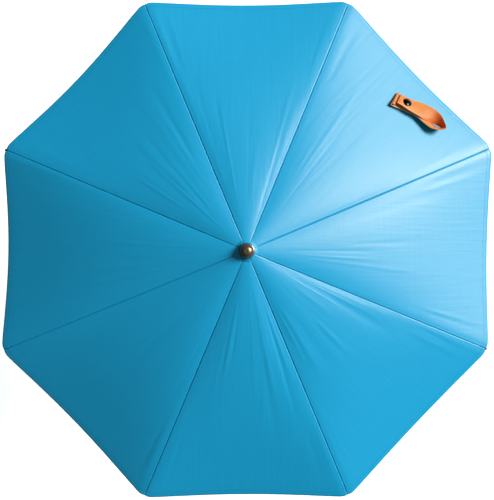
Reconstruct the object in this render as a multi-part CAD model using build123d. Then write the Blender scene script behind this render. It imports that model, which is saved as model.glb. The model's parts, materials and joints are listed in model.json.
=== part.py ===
from build123d import *
import math
import os

# A small clamp-on sun umbrella: an eight-gore canopy on eight steel ribs, a sliding
# runner with stretchers, a tube shaft with a tilt joint, a lower pole and a clamp.
# Millimetres, +Z up. The origin is the middle of the clamp's bore; the tube that the
# clamp grips runs along X.

# ---------------------------------------------------------------- driving sizes
RIBS = 8
FIRST_RIB_AZ = 22.5            # azimuth of rib 1; the ribs follow every 45 degrees

TIP_R = 367.5                  # canopy corner, from the shaft's axis
MID_EDGE_R = 336.5             # middle of a hem edge, from the shaft's axis
CLOTH_T = 1.2                  # thickness of a canopy sector's solid
CLOTH_GAP = 0.2                # each sector stops this far short of its border plane
CLOTH_IN_R = 13.0              # inner edge of the sectors

PIVOT_R = 8.5                  # ring on which the ribs (and stretchers) hinge
NOTCH_Z = 700.0                # height of the ribs' hinge ring
RIB_D = 2.8                    # rib wire
RIB_RUN = 355.0                # horizontal run of a rib from its hinge to its tip
RIB_DROP = 108.5               # drop of the rib over that run
RIB_BOW = 6.8                  # bow of the rib above its chord
RIB_END_IN = 5.5               # the wire stops this far short of its full run, inside the cloth's corner pocket
CLOTH_LIFT = 2.3               # underside of the cloth above the rib's middle line

JOINT_X = 156.0                # run from the hinge to the stretcher's joint
JOINT_OFF = 5.5                # the stretcher's pin, below the rib's middle line
STRETCHER_D = 2.8
EYE_R = 1.9                    # eye at the inner end of a rib or a stretcher
WIRE_R = 0.6                   # hinge wire
WIRE_HOLE_R = 0.75

FOLD_DEG = 69.0                # how far a rib swings from open to folded

SHAFT_R, SHAFT_IN_R = 5.0, 4.0
SHAFT_BOTTOM_Z = 318.0
SHAFT_TOP_Z = NOTCH_Z + 5.9

CROWN_R, CROWN_HUB_R = 11.0, 6.2
SLOT_W = 3.8                   # slots of the crown and the runner

RUNNER_BORE_R, RUNNER_SLEEVE_R, RUNNER_FLANGE_R = 5.35, 8.0, 11.0
RUNNER_SLEEVE_L = 26.0

FINIAL_R = 10.3

TILT_Z = 300.0                 # tilt joint's bolt
TILT_EYE_R = 11.0
TONGUE_T = 8.0
FORK_GAP = 8.8
FORK_W = 18.0
BOLT_R, BOLT_HOLE_R = 3.0, 3.08

POLE_R, POLE_IN_R = 8.0, 6.8
POLE_BOTTOM_Z, POLE_TOP_Z = 26.0, 276.0

GRIP_R = 12.5                  # radius of the tube that the clamp grips
CLAMP_W = 26.0
SCREW_R, SCREW_HOLE_R = 4.0, 4.1

STRAP_W, STRAP_T, STRAP_L = 18.0, 1.8, 84.0
STRAP_BASE_R = 286.0           # strap's sewn end, from the shaft's axis
STRAP_AZ = 45.0
STRAP_DIR_AZ = -25.7           # the way the strap points, seen from above

os.makedirs("parts", exist_ok=True)


def save(shape, name):
    shape.label = name
    export_step(shape, f"parts/{name}.step")


def group(*solids):
    return Compound(children=list(solids))


# ---------------------------------------------------------------- the rib's line
# In the rib's own plane (x out from the shaft's axis, z up from the hinge ring) the
# rib is an arc from its hinge to its tip, bowed RIB_BOW above its chord.
A0 = (PIVOT_R, 0.0)
A1 = (PIVOT_R + RIB_RUN, -RIB_DROP)
CH = math.hypot(RIB_RUN, RIB_DROP)
ARC_R = CH * CH / (8 * RIB_BOW) + RIB_BOW / 2
CHORD_DIP = math.atan2(RIB_DROP, RIB_RUN)
MIDX, MIDZ = (A0[0] + A1[0]) / 2, (A0[1] + A1[1]) / 2
NX, NZ = math.sin(CHORD_DIP), math.cos(CHORD_DIP)     # up and out from the chord
AC = (MIDX + NX * (RIB_BOW - ARC_R), MIDZ + NZ * (RIB_BOW - ARC_R))


def rib_z(x, lift=0.0):
    """Height of the rib's line, moved out by lift, at distance x from the axis."""
    r = ARC_R + lift
    return AC[1] + math.sqrt(r * r - (x - AC[0]) ** 2)


def rib_dip(x):
    """Angle of the rib's line below the horizontal at x."""
    return math.asin((x - AC[0]) / ARC_R)


# the stretcher's pin under the rib, and the hinge ring of the runner
JX0 = PIVOT_R + JOINT_X
JDIP = rib_dip(JX0)
JOINT = (JX0 - JOINT_OFF * math.sin(JDIP), rib_z(JX0) - JOINT_OFF * math.cos(JDIP))
LINK = math.hypot(JOINT[0] - PIVOT_R, JOINT[1])
LINK_DIP = math.degrees(math.atan2(-JOINT[1], JOINT[0] - PIVOT_R))
RUNNER_DROP = -2 * JOINT[1]
RUNNER_Z = NOTCH_Z - RUNNER_DROP
RUNNER_BOTTOM_Z = RUNNER_Z - 4.0 - RUNNER_SLEEVE_L

# ---------------------------------------------------------------- canopy surface
# Between two ribs the cloth dips a little: its middle line runs nearly straight from
# the crown to the middle of the hem.
HALF = math.radians(180.0 / RIBS)


def tip_scale(f):
    """Radius along a rib and along a gore's middle, at fraction f of the way out."""
    return (CLOTH_IN_R + f * (TIP_R - CLOTH_IN_R),
            CLOTH_IN_R + 0.6 + f * (MID_EDGE_R - CLOTH_IN_R - 0.6))


SAG = 4.0


def cloth_z(x, f, middle, lift):
    if not middle:
        return rib_z(min(x, ARC_R), lift)
    # middle of a gore: the height of the rib where the chord between ribs meets it,
    # lowered by the sag
    xr = x / math.cos(HALF)
    return rib_z(min(xr, TIP_R), lift) - SAG * 4 * f * (1 - f) * (1 - 0.35 * f)


def quad(a, b, c, d):
    """Two flat triangles for a four-cornered patch."""
    return [(a, b, c), (a, c, d)]


def sector(az):
    """One canopy sector: the two half gores on either side of a rib."""
    n = 11
    fs = [(i / (n - 1)) ** 0.9 for i in range(n)]
    cols = []
    for side in (-1, 0, 1):
        for lift in (CLOTH_LIFT + CLOTH_T, CLOTH_LIFT):
            col = []
            for f in fs:
                rr, rm = tip_scale(f)
                if side == 0:
                    p = (rr, 0.0, cloth_z(rr, f, False, lift))
                else:
                    ca, sa = math.cos(HALF), math.sin(HALF)
                    g = CLOTH_GAP
                    p = (rm * ca + g * sa, side * (rm * sa - g * ca), cloth_z(rm, f, True, lift))
                col.append(p)
            cols.append(col)
    lt, lb, ct, cb, rt, rb = cols
    tris = []
    for i in range(n - 1):
        j = i + 1
        tris += quad(lt[i], lt[j], ct[j], ct[i])
        tris += quad(ct[i], ct[j], rt[j], rt[i])
        tris += quad(lb[i], cb[i], cb[j], lb[j])
        tris += quad(cb[i], rb[i], rb[j], cb[j])
        tris += quad(lt[i], lb[i], lb[j], lt[j])
        tris += quad(rt[i], rt[j], rb[j], rb[i])
    e = n - 1
    tris += quad(lt[0], ct[0], cb[0], lb[0]) + quad(ct[0], rt[0], rb[0], cb[0])
    tris += quad(lt[e], lb[e], cb[e], ct[e]) + quad(ct[e], cb[e], rb[e], rt[e])
    faces = [Face(Wire.make_polygon([Vector(*p) for p in t], close=True)) for t in tris]
    body = Solid(Shell(faces))
    if body.volume < 0:
        body = Solid(Shell([-f for f in faces]))
    return placed(body, az)


def placed(shape, az, z=NOTCH_Z):
    """From the rib's own plane to its azimuth and height."""
    return Location((0, 0, z), (0, 0, az)) * shape


def cyl_y(r, y0, y1, x=0.0, z=0.0):
    """A round bar along Y."""
    return Location((x, y0, z), (-90, 0, 0)) * Cylinder(r, y1 - y0, align=(Align.CENTER, Align.CENTER, Align.MIN))


def tube_z(r, r_in, z0, z1):
    return Pos(0, 0, z0) * (
        Cylinder(r, z1 - z0, align=(Align.CENTER, Align.CENTER, Align.MIN))
        - Cylinder(r_in, z1 - z0, align=(Align.CENTER, Align.CENTER, Align.MIN)))


def rod_z(r, z0, z1):
    return Pos(0, 0, z0) * Cylinder(r, z1 - z0, align=(Align.CENTER, Align.CENTER, Align.MIN))


def in_xz(pts):
    """A face in the XZ plane from (x, z) points."""
    return make_face(Plane.XZ * Polyline(*[(x, z) for x, z in pts], close=True))


def slab_y(face, t):
    """Thicken an XZ face evenly to thickness t along Y."""
    return extrude(face, amount=t / 2, both=True)


def bar(p, q, r):
    """A round bar between two points of the rib's plane."""
    d = Vector(q[0] - p[0], 0, q[1] - p[1])
    pl = Plane(origin=(p[0], 0, p[1]), z_dir=d)
    return pl * Cylinder(r, d.length, align=(Align.CENTER, Align.CENTER, Align.MIN))


# ---------------------------------------------------------------- ribs
def rib():
    x0, x1 = PIVOT_R + 1.2, A1[0] - RIB_END_IN
    a, b = (x0, rib_z(x0)), (x1, rib_z(x1))
    m = ((x0 + x1) / 2, rib_z((x0 + x1) / 2))
    path = ThreePointArc((a[0], 0, a[1]), (m[0], 0, m[1]), (b[0], 0, b[1]))
    start = Plane(origin=path @ 0, z_dir=path % 0)
    wire = sweep(start * Circle(RIB_D / 2), path=path)
    eye = cyl_y(EYE_R, -0.8, 0.8, PIVOT_R, 0)
    flat = bar((PIVOT_R, 0.0), (PIVOT_R + 3.2, rib_z(PIVOT_R + 3.2)), 1.4)
    # the wire's end is pressed flat where it forms the eye
    body = wire + flat
    for s in (-1, 1):
        body -= Pos(PIVOT_R, s * (0.8 + 2), 0) * Box(6.0, 4, 8)
    body = body + eye - cyl_y(WIRE_HOLE_R, -3, 3, PIVOT_R, 0)
    return body.solids()[0] if len(body.solids()) == 1 else body


def rib_tip():
    """A cap pushed over the rib's end, with a round nose and a sewing eye."""
    x1 = A1[0] - RIB_END_IN
    x0 = x1 - 9.0
    a, b = (x0, rib_z(x0)), (x1 + 0.9, rib_z(x1 + 0.9))
    d = rib_dip(x1)
    sleeve = bar(a, b, 1.95)
    nose = Pos(b[0], 0, b[1]) * Sphere(1.95)
    cap = sleeve + nose
    # collar bead at the cap's open end
    ring = bar(a, (a[0] + 1.4 * math.cos(d), a[1] - 1.4 * math.sin(d)), 2.05)
    cap = cap + ring
    inner = bar((x0 - 1, rib_z(x0 - 1)), (x1 + 0.02, rib_z(x1 + 0.02)), RIB_D / 2 + 0.02)
    cap = cap - inner
    # sewing eye: a hole across the nose
    cap = cap - cyl_y(0.5, -3, 3, b[0] + 0.6, b[1])
    return cap


def rib_joint():
    """The clip crimped on the rib, with the ear that carries the stretcher's rivet."""
    d = math.degrees(JDIP)
    cx, cz = JX0, rib_z(JX0)
    ux, uz = math.cos(JDIP), -math.sin(JDIP)
    p, q = (cx - 5 * ux, cz - 5 * uz), (cx + 5 * ux, cz + 5 * uz)
    clip = bar(p, q, 2.05)
    ear_face = in_xz([(-3.6, 0), (3.6, 0), (2.1, -JOINT_OFF), (-2.1, -JOINT_OFF)])
    ear = slab_y(ear_face, 1.2) + cyl_y(2.2, -0.6, 0.6, 0, -JOINT_OFF)
    ear = Location((cx, 0, cz), (0, d, 0)) * ear
    body = clip + ear - bar((cx - 7 * ux, cz - 7 * uz), (cx + 7 * ux, cz + 7 * uz), RIB_D / 2 + 0.02)
    body -= cyl_y(0.8, -3, 3, JOINT[0], JOINT[1])
    rivet = cyl_y(0.8, -2.4, 2.4, JOINT[0], JOINT[1])
    for s in (-1, 1):
        head = cyl_y(1.5, 2.15, 2.75, JOINT[0], JOINT[1]) if s > 0 else cyl_y(1.5, -2.75, -2.15, JOINT[0], JOINT[1])
        rivet += head
    return group(body.solids()[0], rivet.solids()[0])


def stretcher():
    """From the runner's wire to the rivet under the rib."""
    R = (PIVOT_R, -RUNNER_DROP)
    M = JOINT
    L = math.hypot(M[0] - R[0], M[1] - R[1])
    ux, uz = (M[0] - R[0]) / L, (M[1] - R[1]) / L
    a = (R[0] + 1.2 * ux, R[1] + 1.2 * uz)
    b = (M[0] - 5.0 * ux, M[1] - 5.0 * uz)
    rod = bar(a, b, STRETCHER_D / 2)
    rod += bar(R, a, STRETCHER_D / 2)
    ang = math.degrees(math.atan2(uz, ux))
    for s in (-1, 1):
        rod -= Location((R[0], s * 2.8, R[1]), (0, -ang, 0)) * Box(6.4, 4, 8)
    rod = rod + cyl_y(EYE_R, -0.8, 0.8, R[0], R[1]) - cyl_y(WIRE_HOLE_R, -3, 3, R[0], R[1])
    # fork: two cheeks either side of the rib's ear, joined where they meet the wire
    cheek = Pos(-4.5, 0, 0) * Box(9.0, 3.7, 3.6) + cyl_y(2.05, -1.85, 1.85)
    cheek += bar((-10.5, 0), (-6.0, 0), 1.75)
    fork = cheek - Pos(-1.0, 0, 0) * Box(5.2 * 2 - 2.4, 1.8, 12)
    fork = fork - cyl_y(0.88, -3, 3)
    fork = Location((M[0], 0, M[1]), (0, -ang, 0)) * fork
    body = rod + fork
    return body


one_rib, one_tip, one_joint, one_stretcher = rib(), rib_tip(), rib_joint(), stretcher()
for i in range(RIBS):
    az = FIRST_RIB_AZ + i * 360.0 / RIBS
    n = i + 1
    save(placed(one_rib, az), f"rib_{n}")
    save(placed(one_tip, az), f"rib_tip_{n}")
    save(placed(one_joint, az), f"rib_joint_{n}")
    save(placed(one_stretcher, az), f"stretcher_{n}")
    save(sector(az), f"canopy_sector_{n}")


# ---------------------------------------------------------------- shaft and crown
shaft = tube_z(SHAFT_R, SHAFT_IN_R, SHAFT_BOTTOM_Z, SHAFT_TOP_Z)
CATCH_TOP_Z = RUNNER_BOTTOM_Z - 0.4
CATCH_H = 14.0
shaft -= Pos(4.5, 0, CATCH_TOP_Z - CATCH_H / 2) * Box(6.0, 3.8, CATCH_H + 0.8)
save(shaft, "shaft")

# a wedge on a leaf inside the tube; its top face stops the runner
catch_face = in_xz([(1.0, CATCH_TOP_Z), (7.4, CATCH_TOP_Z), (7.4, CATCH_TOP_Z - 2.0),
                    (5.0, CATCH_TOP_Z - CATCH_H), (1.0, CATCH_TOP_Z - CATCH_H)])
leaf = Pos(1.5, 0, CATCH_TOP_Z - 20.0) * Box(1.0, 3.0, 40.0)
catch = slab_y(catch_face, 3.0) + leaf
save(catch, "catch")


def slotted(body, z0, z1):
    for i in range(RIBS):
        az = FIRST_RIB_AZ + i * 360.0 / RIBS
        slot = Pos(CROWN_HUB_R + 5.0, 0, (z0 + z1) / 2) * Box(10.0, SLOT_W, z1 - z0)
        body -= Rot(0, 0, az) * slot
    return body


ring_cut = Torus(PIVOT_R, WIRE_R + 0.02)
crown = rod_z(CROWN_R, NOTCH_Z - 5.0, NOTCH_Z + 4.6)
crown = slotted(crown, NOTCH_Z - 8.0, NOTCH_Z + 2.9)
crown += rod_z(7.6, NOTCH_Z - 9.0, NOTCH_Z - 5.0)
crown -= rod_z(SHAFT_R, NOTCH_Z - 12.0, NOTCH_Z + 10.0)
crown -= Pos(0, 0, NOTCH_Z) * ring_cut
# clear of the swinging ribs below the hinge ring
crown = slotted(crown, NOTCH_Z - 12.0, NOTCH_Z - 4.0)
save(crown, "crown")
save(Pos(0, 0, NOTCH_Z) * Torus(PIVOT_R, WIRE_R), "crown_wire")

# fixed cloth washer over the crown
cap_pts = [(5.2, NOTCH_Z + 4.8), (11.6, NOTCH_Z + 4.7), (16.5, NOTCH_Z + 3.3), (16.5, NOTCH_Z + 4.1),
           (11.2, NOTCH_Z + 5.7), (5.2, NOTCH_Z + 5.9)]
save(revolve(in_xz(cap_pts), Axis.Z), "top_cap")

# ---------------------------------------------------------------- finial
fz = NOTCH_Z + 6.0
dome_in = (9.2, fz + 3.0)
prof = [(0, fz), (FINIAL_R - 0.5, fz), (FINIAL_R, fz + 0.5), (FINIAL_R, fz + 2.2), (FINIAL_R - 0.6, fz + 2.8), (9.3, fz + 2.8)]
steps = 9
for k in range(1, steps + 1):
    t = math.radians(90 * k / (steps + 1))
    prof.append((1.6 + 7.7 * math.cos(t) ** 0.9, fz + 2.8 + 9.0 * math.sin(t)))
prof += [(1.6, fz + 11.8), (1.3, fz + 11.0), (0, fz + 10.8)]
finial = revolve(in_xz(prof), Axis.Z)
finial += rod_z(3.9, fz - 22.0, fz)
save(finial, "finial")

# ---------------------------------------------------------------- runner
runner = rod_z(RUNNER_FLANGE_R, RUNNER_Z - 4.0, RUNNER_Z + 4.0)
runner = slotted(runner, RUNNER_Z - 4.5, RUNNER_Z + 5.0)
runner += rod_z(RUNNER_SLEEVE_R, RUNNER_BOTTOM_Z, RUNNER_Z - 4.0)
for k in range(3):
    runner += Pos(0, 0, RUNNER_BOTTOM_Z + 4 + 4.5 * k) * Torus(RUNNER_SLEEVE_R, 0.8)
runner += rod_z(RUNNER_SLEEVE_R + 1.2, RUNNER_BOTTOM_Z + 17.0, RUNNER_BOTTOM_Z + 20.0)
runner -= rod_z(RUNNER_BORE_R, RUNNER_BOTTOM_Z - 2, RUNNER_Z + 6.0)
runner -= Pos(0, 0, RUNNER_Z) * ring_cut
# the bore is relieved on the catch's side above the lower bearing
relief_z0 = RUNNER_BOTTOM_Z + 16.0
runner -= Pos(6.0, 0, (relief_z0 + RUNNER_Z + 5.0) / 2) * Box(3.5, 3.8, RUNNER_Z + 5.0 - relief_z0)
save(runner, "runner")
save(Pos(0, 0, RUNNER_Z) * Torus(PIVOT_R, WIRE_R), "runner_wire")

# ---------------------------------------------------------------- tilt joint
knuckle = rod_z(9.0, TILT_Z + 14.2, TILT_Z + 46.0)
knuckle = fillet(knuckle.edges().group_by(Axis.Z)[-1], 1.5)
tongue = slab_y(in_xz([(-TILT_EYE_R + 2.4, TILT_Z), (TILT_EYE_R - 2.4, TILT_Z), (8.4, TILT_Z + 16.0), (-8.4, TILT_Z + 16.0)]), TONGUE_T)
tongue += cyl_y(TILT_EYE_R - 1.0, -TONGUE_T / 2, TONGUE_T / 2, 0, TILT_Z)
knuckle = knuckle + tongue
knuckle -= rod_z(SHAFT_R, SHAFT_BOTTOM_Z, TILT_Z + 50.0)
knuckle -= cyl_y(BOLT_HOLE_R, -12, 12, 0, TILT_Z)
save(knuckle, "tilt_knuckle")

fork = rod_z(TILT_EYE_R, TILT_Z - 48.0, TILT_Z - 14.0)
fork = fillet(fork.edges().group_by(Axis.Z)[0], 1.5)
for s in (-1, 1):
    y0, y1 = (FORK_GAP / 2, FORK_W / 2) if s > 0 else (-FORK_W / 2, -FORK_GAP / 2)
    ear = cyl_y(TILT_EYE_R, y0, y1, 0, TILT_Z)
    ear += Pos(0, (y0 + y1) / 2, TILT_Z - 9.0) * Box(2 * TILT_EYE_R, y1 - y0, 18.0)
    ear &= rod_z(14.5, TILT_Z - 20, TILT_Z + 20)
    fork += ear
fork -= rod_z(POLE_R, TILT_Z - 60.0, POLE_TOP_Z)
fork -= cyl_y(BOLT_R, -14, 14, 0, TILT_Z)
save(fork, "tilt_fork")

bolt = cyl_y(BOLT_R, -FORK_W / 2, FORK_W / 2 + 9.5, 0, TILT_Z)
bolt += cyl_y(5.4, -FORK_W / 2 - 3.0, -FORK_W / 2, 0, TILT_Z)
bolt -= Location((0, -FORK_W / 2 - 3.0, TILT_Z), (-90, 0, 0)) * extrude(RegularPolygon(2.3, 6), 2.0)
save(bolt, "tilt_bolt")

ky0 = FORK_W / 2 + 0.35
knob = cyl_y(11.5, ky0 + 2.5, ky0 + 13.5, 0, TILT_Z)
for k in range(6):
    a = math.radians(30 + 60 * k)
    knob -= cyl_y(4.6, ky0 + 1.0, ky0 + 20, 14.4 * math.cos(a), TILT_Z + 14.4 * math.sin(a))
knob += cyl_y(7.0, ky0, ky0 + 2.6, 0, TILT_Z)
knob -= cyl_y(BOLT_HOLE_R, ky0 - 1, ky0 + 10.4, 0, TILT_Z)
save(knob, "tilt_knob")

# ---------------------------------------------------------------- lower pole
pole = tube_z(POLE_R, POLE_IN_R, POLE_BOTTOM_Z, POLE_TOP_Z)
save(pole, "lower_pole")

# ---------------------------------------------------------------- clamp
# An upside-down U over the gripped tube: the fixed seat on -Y, the screw's boss on +Y.
pts = [(-22.5, -15.0), (-22.5, 22.0), (-16.0, 28.0), (38.0, 28.0), (44.5, 22.0), (44.5, -11.0),
       (34.5, -11.0), (34.5, 16.5), (-10.0, 16.5), (-10.0, -15.0)]
prof_c = make_face(Plane.YZ * Polyline(*pts, close=True))
clamp = extrude(prof_c, amount=CLAMP_W / 2, both=True)
seat_back = Pos(0, -10.5, 0) * Box(CLAMP_W, 9.0, 30.0)
clamp += seat_back
grip = Rot(0, 90, 0) * Cylinder(GRIP_R, CLAMP_W + 4)
clamp -= grip
clamp -= cyl_y(SCREW_HOLE_R, 30, 50)
boss = cyl_y(8.6, 44.0, 47.5) - cyl_y(SCREW_HOLE_R, 40, 50)
clamp += boss
# socket for the lower pole
socket = rod_z(12.0, 26.0, 50.0)
socket = fillet(socket.edges().group_by(Axis.Z)[-1], 1.5)
clamp += socket
clamp -= rod_z(POLE_R, POLE_BOTTOM_Z, 60.0)
clamp -= Pos(0, 6.0, -9.0) * Box(CLAMP_W + 2, 19.0, 14.0)
save(clamp.solids().sort_by(SortBy.VOLUME)[-1], "clamp_body")

jaw = Pos(0, 13.8, 0) * Box(CLAMP_W, 13.4, 22.0)
jaw = fillet(jaw.edges().filter_by(Axis.X).group_by(Axis.Y)[-1], 2.5)
jaw -= grip
jaw -= cyl_y(SCREW_R + 0.1, 17.4, 30)
save(jaw, "clamp_jaw")

screw = cyl_y(SCREW_R, 17.8, 66.0)
for k in range(13):
    y = 23.0 + 3.0 * k
    if y < 56.0:
        screw -= Location((0, y, 0), (90, 0, 0)) * Torus(SCREW_R + 0.15, 0.6)
save(screw, "clamp_screw")
knob2 = cyl_y(16.0, 62.0, 74.0)
for k in range(8):
    a = math.radians(22.5 + 45 * k)
    knob2 -= cyl_y(4.2, 60.0, 80.0, 18.4 * math.cos(a), 18.4 * math.sin(a))
knob2 += cyl_y(8.5, 60.2, 62.1)
knob2 -= cyl_y(SCREW_R, 58.0, 66.0)
save(knob2, "clamp_knob")

# ---------------------------------------------------------------- closure strap
# Local frame: X the way the strap points, Y across it, Z away from the cloth.
ca, sa = math.cos(math.radians(STRAP_AZ)), math.sin(math.radians(STRAP_AZ))
f_base = (STRAP_BASE_R - CLOTH_IN_R) / (MID_EDGE_R - CLOTH_IN_R)
z_in, z_out = (cloth_z(r, (r - CLOTH_IN_R) / (MID_EDGE_R - CLOTH_IN_R), True, CLOTH_LIFT + CLOTH_T) for r in (STRAP_BASE_R - 10, STRAP_BASE_R + 10))
slope = (z_in - z_out) / 20.0
normal = Vector(slope * ca, slope * sa, 1).normalized()
dx, dy = math.cos(math.radians(STRAP_DIR_AZ)), math.sin(math.radians(STRAP_DIR_AZ))
along = Vector(dx, dy, -slope * (dx * ca + dy * sa)).normalized()
base = Vector(STRAP_BASE_R * ca, STRAP_BASE_R * sa, NOTCH_Z + (z_in + z_out) / 2)
STRAP = Plane(origin=base, x_dir=along, z_dir=normal)

anchor = Pos(-1.5, 0, 1.0) * Box(9.0, STRAP_W - 1.0, 1.2)
save(STRAP * anchor, "strap_anchor")

# The loop seen from its edge: the lower layer leaves the anchor, rises, turns round
# at the far end and comes back over itself to the snap.
lower = [(0.0, 2.9), (12.0, 3.2), (26.0, 4.2), (44.0, 6.0), (62.0, 7.0), (76.0, 8.0)]
upper = [(76.0, 19.6), (62.0, 18.6), (44.0, 14.2), (26.0, 9.0), (12.0, 7.2), (1.0, 6.9)]


t = STRAP_T


def p3(p):
    return (p[0], 0, p[1])


ol = [p3((x, z - t / 2)) for x, z in lower]
il = [p3((x, z + t / 2)) for x, z in lower]
ou = [p3((x, z + t / 2)) for x, z in upper]
iu = [p3((x, z - t / 2)) for x, z in upper]
edges = [Spline(*ol), ThreePointArc(ol[-1], p3((STRAP_L, 13.8)), ou[0]), Spline(*ou), Line(ou[-1], iu[-1]),
         Spline(*iu[::-1]), ThreePointArc(iu[0], p3((STRAP_L - t, 13.8)), il[-1]), Spline(*il[::-1]), Line(il[0], ol[0])]
loop_face = make_face(Wire(edges))
loop = extrude(loop_face, amount=STRAP_W / 2, both=True)
SNAP_X, SNAP_R = 15.5, 6.4
loop -= Pos(SNAP_X, 0, 5.0) * Cylinder(2.05, 12.0)
# the leather is pressed flat under the snap's cap
loop -= Pos(SNAP_X, 0, 8.58) * Cylinder(SNAP_R + 0.1, 4.0, align=(Align.CENTER, Align.CENTER, Align.MIN))
save(STRAP * loop, "closure_strap")

snap_cap = Pos(SNAP_X, 0, 8.6) * Cylinder(SNAP_R, 1.2, align=(Align.CENTER, Align.CENTER, Align.MIN))
snap_cap = fillet(snap_cap.edges().group_by(Axis.Z)[-1], 0.9)
snap_cap += Pos(SNAP_X, 0, 5.6) * Cylinder(2.0, 3.1, align=(Align.CENTER, Align.CENTER, Align.MIN))
stud = Pos(SNAP_X, 0, 1.75) * Cylinder(2.0, 3.5, align=(Align.CENTER, Align.CENTER, Align.MIN))
stud += Pos(SNAP_X, 0, 1.3) * Cylinder(4.6, 0.7, align=(Align.CENTER, Align.CENTER, Align.MIN))
save(STRAP * group(snap_cap.solids()[0], stud.solids()[0]), "snap_fastener")

print("runner drop", round(RUNNER_DROP, 4), "link", round(LINK, 3), "link dip", round(LINK_DIP, 3))
print("joint", [round(v, 4) for v in JOINT], "runner z", round(RUNNER_Z, 3), "bottom", round(RUNNER_BOTTOM_Z, 3))
print("strap base", [round(v, 4) for v in base], "across", [round(v, 5) for v in STRAP.y_dir], "normal", [round(v, 5) for v in normal], "along", [round(v, 5) for v in along])
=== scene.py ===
import bpy
import bmesh
import json
import math
import numpy as np
from mathutils import Matrix, Vector


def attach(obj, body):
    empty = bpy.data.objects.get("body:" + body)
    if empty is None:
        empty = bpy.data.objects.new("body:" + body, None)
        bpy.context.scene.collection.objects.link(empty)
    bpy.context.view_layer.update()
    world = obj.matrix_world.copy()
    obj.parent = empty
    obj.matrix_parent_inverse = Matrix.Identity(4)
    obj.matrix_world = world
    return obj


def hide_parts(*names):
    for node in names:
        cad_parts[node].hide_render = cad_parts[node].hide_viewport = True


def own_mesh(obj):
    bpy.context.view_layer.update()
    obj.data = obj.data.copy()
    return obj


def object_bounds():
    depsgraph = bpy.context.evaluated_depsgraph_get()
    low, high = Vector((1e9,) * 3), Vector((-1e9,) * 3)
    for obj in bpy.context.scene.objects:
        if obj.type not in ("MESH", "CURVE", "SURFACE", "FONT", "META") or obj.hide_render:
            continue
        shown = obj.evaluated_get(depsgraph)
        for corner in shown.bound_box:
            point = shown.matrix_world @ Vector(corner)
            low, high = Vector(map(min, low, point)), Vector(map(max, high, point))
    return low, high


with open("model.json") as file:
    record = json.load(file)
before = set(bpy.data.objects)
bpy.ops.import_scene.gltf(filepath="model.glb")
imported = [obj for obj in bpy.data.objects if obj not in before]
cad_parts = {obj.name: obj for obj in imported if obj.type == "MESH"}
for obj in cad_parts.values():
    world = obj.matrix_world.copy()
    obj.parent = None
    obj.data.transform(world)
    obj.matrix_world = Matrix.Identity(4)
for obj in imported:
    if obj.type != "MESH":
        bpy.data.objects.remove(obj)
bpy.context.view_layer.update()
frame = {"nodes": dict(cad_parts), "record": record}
scene = bpy.context.scene
MM = 0.001

# ------------------------------------------------------------------ sizes, mm
RIBS = 8
RIB_AZ = [22.5 + 45.0 * k for k in range(RIBS)]
HALF = math.radians(22.5)
NOTCH = 700.0
PIVOT_R, RUN, DROP, BOW = 8.5, 355.0, 108.5, 6.8
CLOTH_TOP = 3.5           # cloth's upper face above the rib's middle line
CLOTH_T = 0.45
IN_R = 13.0
TIP_R = 367.5
EDGE_IN = [4.5, 4.8, 5.0, 6.9, 7.6, 4.8, 4.2, 2.5]      # how far each hem edge bows in
TIP_VAR = [0.0, 3.4, 2.2, -5.3, -1.4, 5.0, 4.1, -5.0]   # small unevenness of the corners

CH = math.hypot(RUN, DROP)
ARC_R = CH * CH / (8 * BOW) + BOW / 2
CHORD_DIP = math.atan2(DROP, RUN)
MIDX, MIDZ = PIVOT_R + RUN / 2, -DROP / 2
AC = (MIDX + math.sin(CHORD_DIP) * (BOW - ARC_R), MIDZ + math.cos(CHORD_DIP) * (BOW - ARC_R))


def rib_z(x, lift=0.0):
    r = ARC_R + lift
    return AC[1] + np.sqrt(r * r - (x - AC[0]) ** 2)


def smooth(a, b, x):
    t = np.clip((x - a) / (b - a), 0.0, 1.0)
    return t * t * (3 - 2 * t)


# ------------------------------------------------------------------ helpers
def mesh_object(name, verts, faces, smooth_shade=True):
    me = bpy.data.meshes.new(name)
    me.from_pydata([tuple(v) for v in verts], [], [tuple(int(i) for i in f) for f in faces])
    me.update()
    ob = bpy.data.objects.new(name, me)
    scene.collection.objects.link(ob)
    if smooth_shade:
        me.polygons.foreach_set("use_smooth", [True] * len(me.polygons))
    return ob


def mark_sharp(ob, pairs):
    """Mark the edges joining these vertex pairs sharp."""
    me = ob.data
    want = {tuple(sorted((int(a), int(b)))) for a, b in pairs}
    att = me.attributes.get("sharp_edge") or me.attributes.new("sharp_edge", "BOOLEAN", "EDGE")
    flags = [tuple(sorted(e.vertices)) in want for e in me.edges]
    att.data.foreach_set("value", flags)


def sharp_by_angle(ob, degrees):
    bpy.context.view_layer.objects.active = ob
    for o in bpy.context.selected_objects:
        o.select_set(False)
    ob.select_set(True)
    bpy.ops.object.shade_smooth_by_angle(angle=math.radians(degrees), keep_sharp_edges=True)
    ob.select_set(False)


def lathe(name, profile, n=72, axis_at=(0.0, 0.0, 0.0)):
    """A round piece about Z from (r, z) in mm; r=0 points make poles."""
    verts, faces, rings = [], [], []
    for r, z in profile:
        if r < 1e-6:
            rings.append([len(verts)])
            verts.append((axis_at[0], axis_at[1], axis_at[2] + z))
        else:
            ring = []
            for i in range(n):
                a = 2 * math.pi * i / n
                ring.append(len(verts))
                verts.append((axis_at[0] + r * math.cos(a), axis_at[1] + r * math.sin(a), axis_at[2] + z))
            rings.append(ring)
    for a, b in zip(rings, rings[1:]):
        for i in range(n):
            j = (i + 1) % n
            if len(a) == 1 and len(b) == 1:
                break
            if len(a) == 1:
                faces.append((a[0], b[j], b[i]))
            elif len(b) == 1:
                faces.append((a[i], a[j], b[0]))
            else:
                faces.append((a[i], a[j], b[j], b[i]))
    return mesh_object(name, np.array(verts) * MM, faces)


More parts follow.
